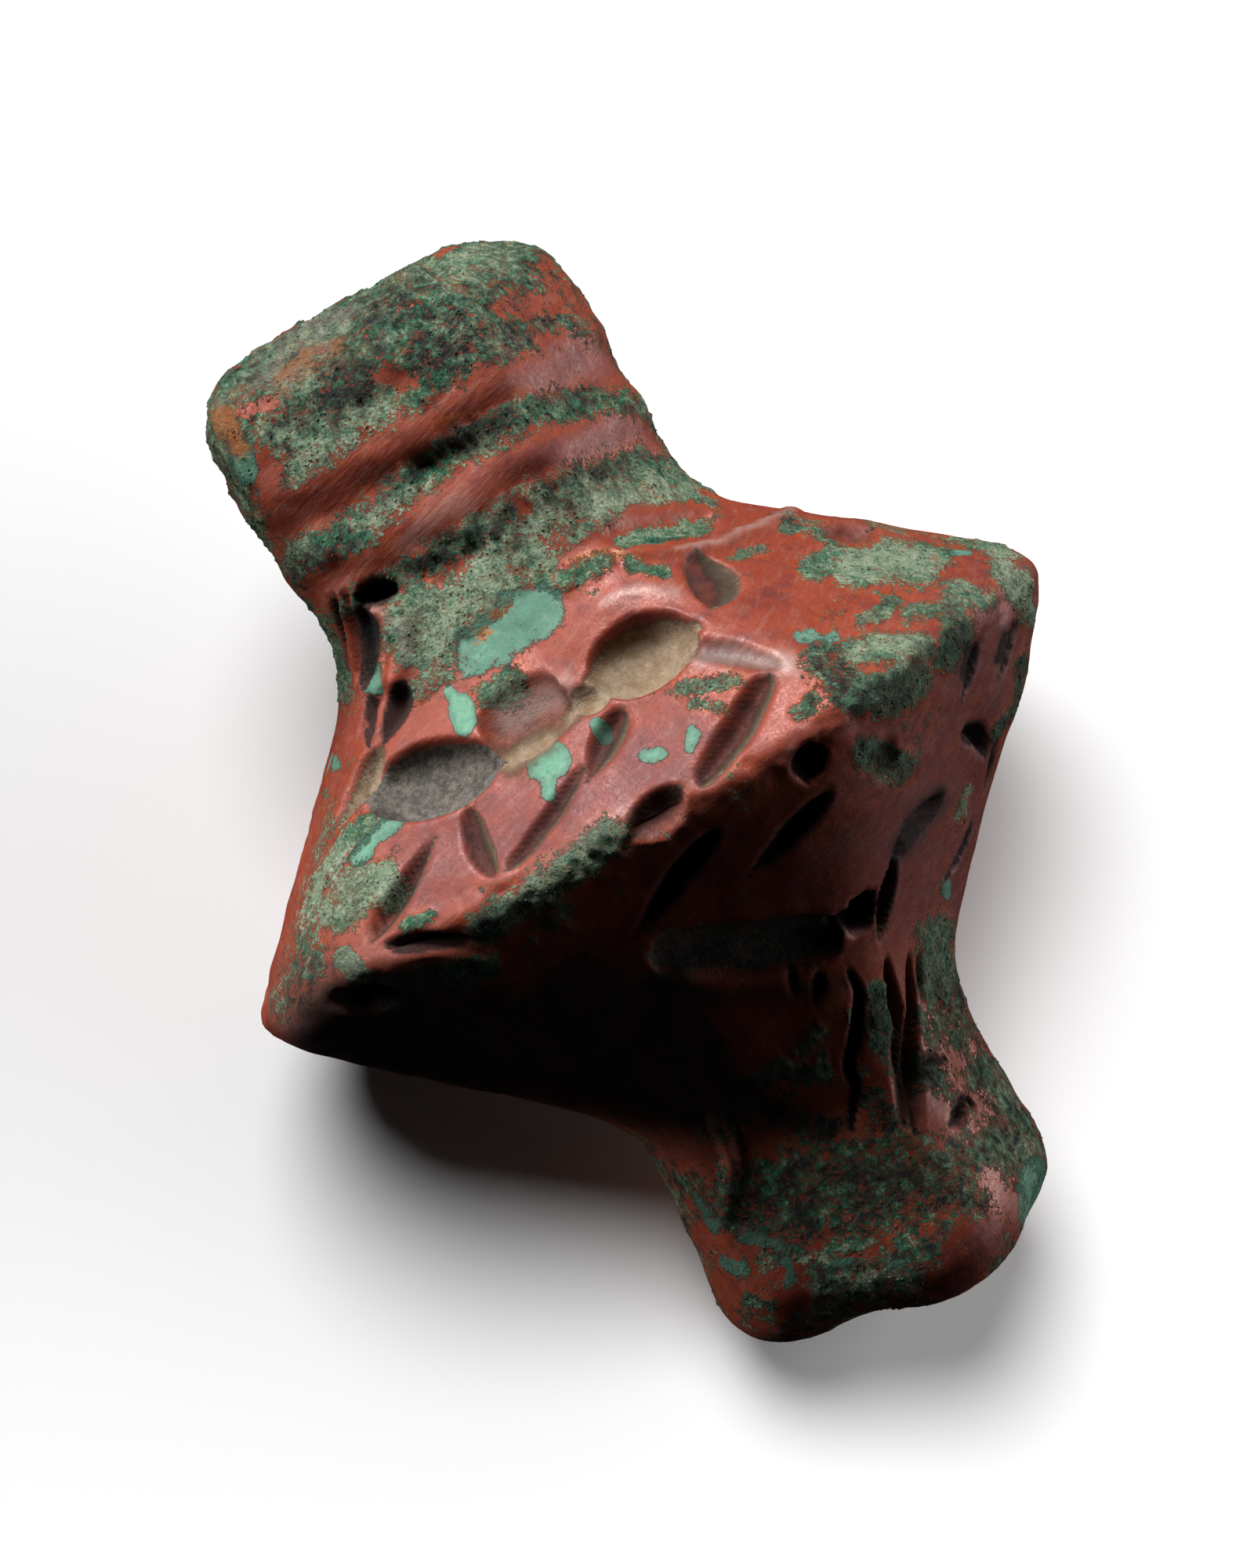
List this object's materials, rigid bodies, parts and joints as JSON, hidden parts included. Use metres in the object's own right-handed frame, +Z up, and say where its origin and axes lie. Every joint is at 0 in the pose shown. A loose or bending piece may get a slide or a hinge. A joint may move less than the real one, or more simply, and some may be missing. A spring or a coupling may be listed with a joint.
{
  "type": "carved copper seal",
  "caption": "Old corroded copper seal: a faceted lump, widest at a blunt ridge round its middle and drawn in to a stub at each end, with simple animals gouged into its slopes.",
  "frame": {"origin": "on the surface that the seal lies on, under the middle of its box", "axes": "+X along the seal's length towards its thick head, which is tilted up, +Y across it, +Z up"},
  "size_m": [0.0464, 0.0374, 0.0294],
  "materials": {
    "copper": "corroded copper, dull brick red with cuprite, with patches and bands of rough green crust"
  },
  "bodies": {
    "root": {"seal": "copper"}
  },
  "joints": []
}
